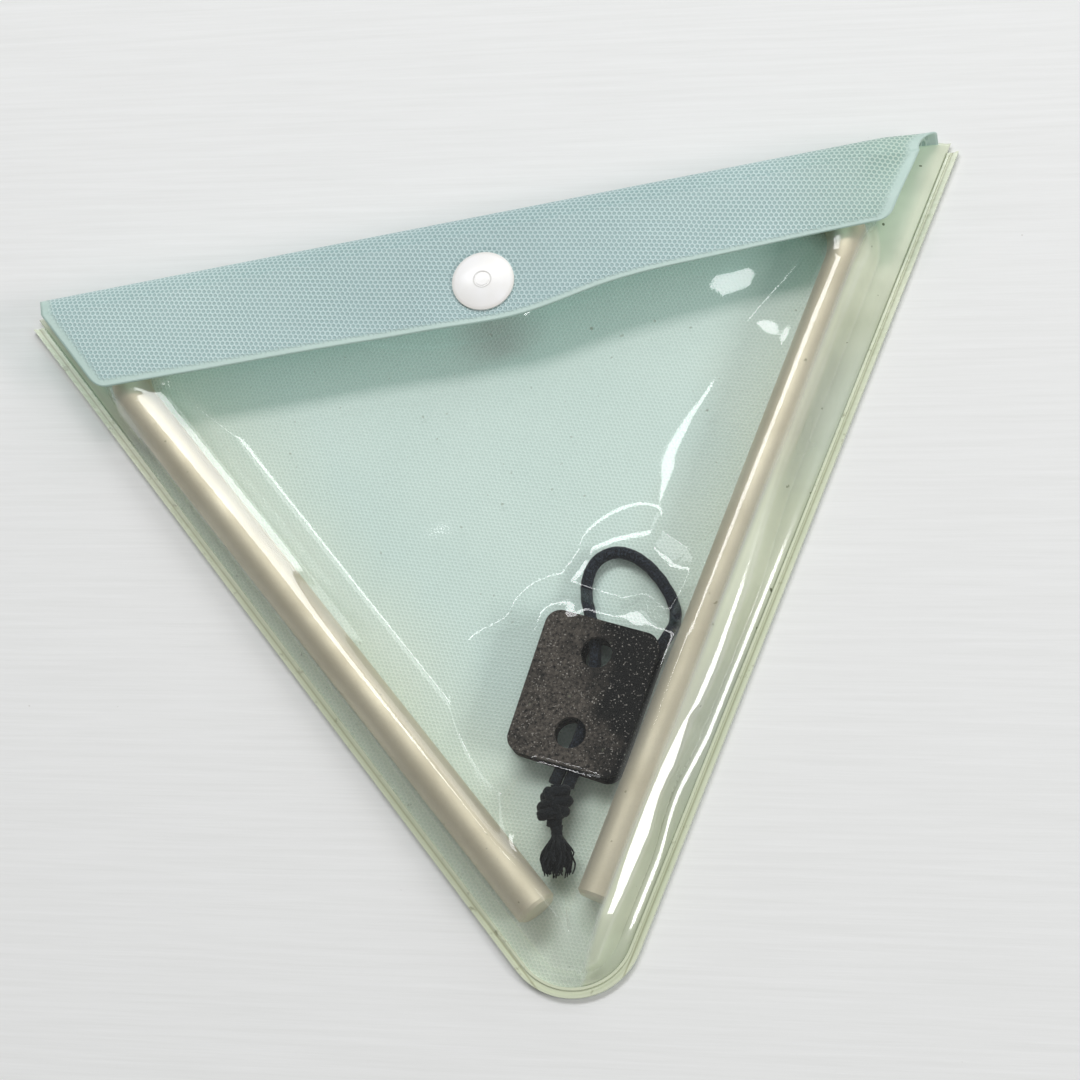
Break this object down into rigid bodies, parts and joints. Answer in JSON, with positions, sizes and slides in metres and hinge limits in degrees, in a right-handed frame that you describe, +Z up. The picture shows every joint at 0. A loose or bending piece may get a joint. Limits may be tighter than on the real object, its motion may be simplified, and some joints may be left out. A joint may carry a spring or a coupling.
{
  "type": "triangle instrument in a snap case",
  "caption": "Triangle of bent round rod with open corner, in a flat vinyl case with folding snap flap and a leather holder on a cord.",
  "frame": {"origin": "centre of the bottom of the object's box, on the surface that it lies on", "axes": "+X along the folded edge of the case, +Y from the rounded tip towards the fold, +Z up"},
  "size_m": [0.1934, 0.157, 0.0116],
  "materials": {
    "back_vinyl": "embossed, pale green",
    "clear_vinyl": "clear and glossy, slightly yellowed",
    "weld_vinyl": "glossy welded bead",
    "flap_vinyl": "embossed honeycomb, blue-green",
    "snap_plastic": "off-white, satin",
    "rod_steel": "satin nickel, champagne tone",
    "leather": "black, worn grain",
    "cord": "black twisted cotton"
  },
  "bodies": {
    "pouch": {"back_panel": "back_vinyl", "front_panel": "clear_vinyl", "edge_weld": "weld_vinyl", "flap_fold": "flap_vinyl", "snap_stud": "snap_plastic", "snap_back_cap": "snap_plastic"},
    "flap": {"flap": "flap_vinyl", "snap_cap": "snap_plastic", "snap_socket": "snap_plastic"},
    "triangle": {"triangle_rod": "rod_steel"},
    "holder": {"grip_front_leaf": "leather", "grip_back_leaf": "leather", "hanging_cord": "cord", "cord_knot": "cord", "cord_tassel": "cord"}
  },
  "joints": [
    {"name": "flap_hinge", "type": "hinge", "parent": "pouch", "child": "flap", "pos_m": [0, 0.07333, 0.00515], "axis": [-1, 0, 0], "range_deg": [0, 170], "deforming": ["flap_fold"]},
    {"name": "triangle_play", "type": "slide", "parent": "pouch", "child": "triangle", "axis": [0, 1, 0], "range_m": [-0.0002, 0.0007]},
    {"name": "holder_play", "type": "slide", "parent": "pouch", "child": "holder", "axis": [0, 1, 0], "range_m": [0, 0.002]}
  ]
}
